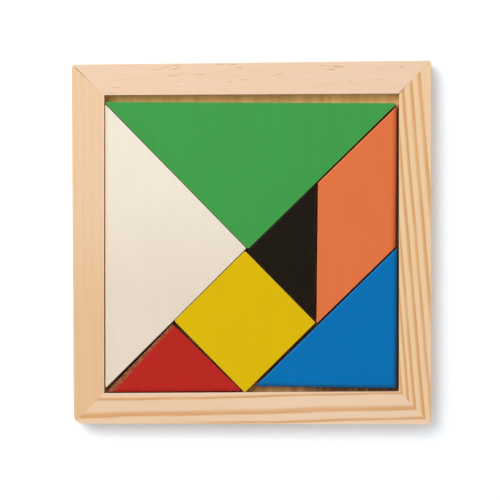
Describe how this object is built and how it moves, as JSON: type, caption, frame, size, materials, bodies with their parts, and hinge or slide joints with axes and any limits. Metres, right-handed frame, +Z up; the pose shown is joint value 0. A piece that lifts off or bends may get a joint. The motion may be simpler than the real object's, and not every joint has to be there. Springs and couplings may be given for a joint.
{
  "type": "tangram puzzle",
  "caption": "Square pine tray with a plywood floor, filled by flat painted wooden triangles, a square and a parallelogram that lift out to be arranged as figures.",
  "frame": {"origin": "centre of the tray's outline, on its underside", "axes": "+Z up out of the tray, +Y towards the back rail, +X towards the right rail"},
  "size_m": [0.1402, 0.1418, 0.008],
  "materials": {
    "pine": "sanded, unvarnished",
    "plywood": "sanded, unvarnished",
    "pin_steel": "bright wire",
    "green_paint": "satin paint over wood",
    "white_paint": "satin paint over wood",
    "yellow_paint": "satin paint over wood",
    "black_paint": "satin paint over wood",
    "red_paint": "satin paint over wood",
    "orange_paint": "satin paint over wood",
    "blue_paint": "satin paint over wood"
  },
  "bodies": {
    "tray": {"front_rail": "pine", "right_rail": "pine", "back_rail": "pine", "left_rail": "pine", "floor_panel": "plywood", "corner_pins": "pin_steel"},
    "green_large_triangle_body": {"green_large_triangle": "green_paint"},
    "white_large_triangle_body": {"white_large_triangle": "white_paint"},
    "yellow_square_body": {"yellow_square": "yellow_paint"},
    "black_small_triangle_body": {"black_small_triangle": "black_paint"},
    "red_small_triangle_body": {"red_small_triangle": "red_paint"},
    "orange_parallelogram_body": {"orange_parallelogram": "orange_paint"},
    "blue_medium_triangle_body": {"blue_medium_triangle": "blue_paint"}
  },
  "joints": [
    {"name": "green_large_triangle_lift", "type": "slide", "parent": "tray", "child": "green_large_triangle_body", "axis": [0, 0, 1], "range_m": [0, 0.02]},
    {"name": "white_large_triangle_lift", "type": "slide", "parent": "tray", "child": "white_large_triangle_body", "axis": [0, 0, 1], "range_m": [0, 0.02]},
    {"name": "yellow_square_lift", "type": "slide", "parent": "tray", "child": "yellow_square_body", "axis": [0, 0, 1], "range_m": [0, 0.02]},
    {"name": "black_small_triangle_lift", "type": "slide", "parent": "tray", "child": "black_small_triangle_body", "axis": [0, 0, 1], "range_m": [0, 0.02]},
    {"name": "red_small_triangle_lift", "type": "slide", "parent": "tray", "child": "red_small_triangle_body", "axis": [0, 0, 1], "range_m": [0, 0.02]},
    {"name": "orange_parallelogram_lift", "type": "slide", "parent": "tray", "child": "orange_parallelogram_body", "axis": [0, 0, 1], "range_m": [0, 0.02]},
    {"name": "blue_medium_triangle_lift", "type": "slide", "parent": "tray", "child": "blue_medium_triangle_body", "axis": [0, 0, 1], "range_m": [0, 0.02]}
  ]
}
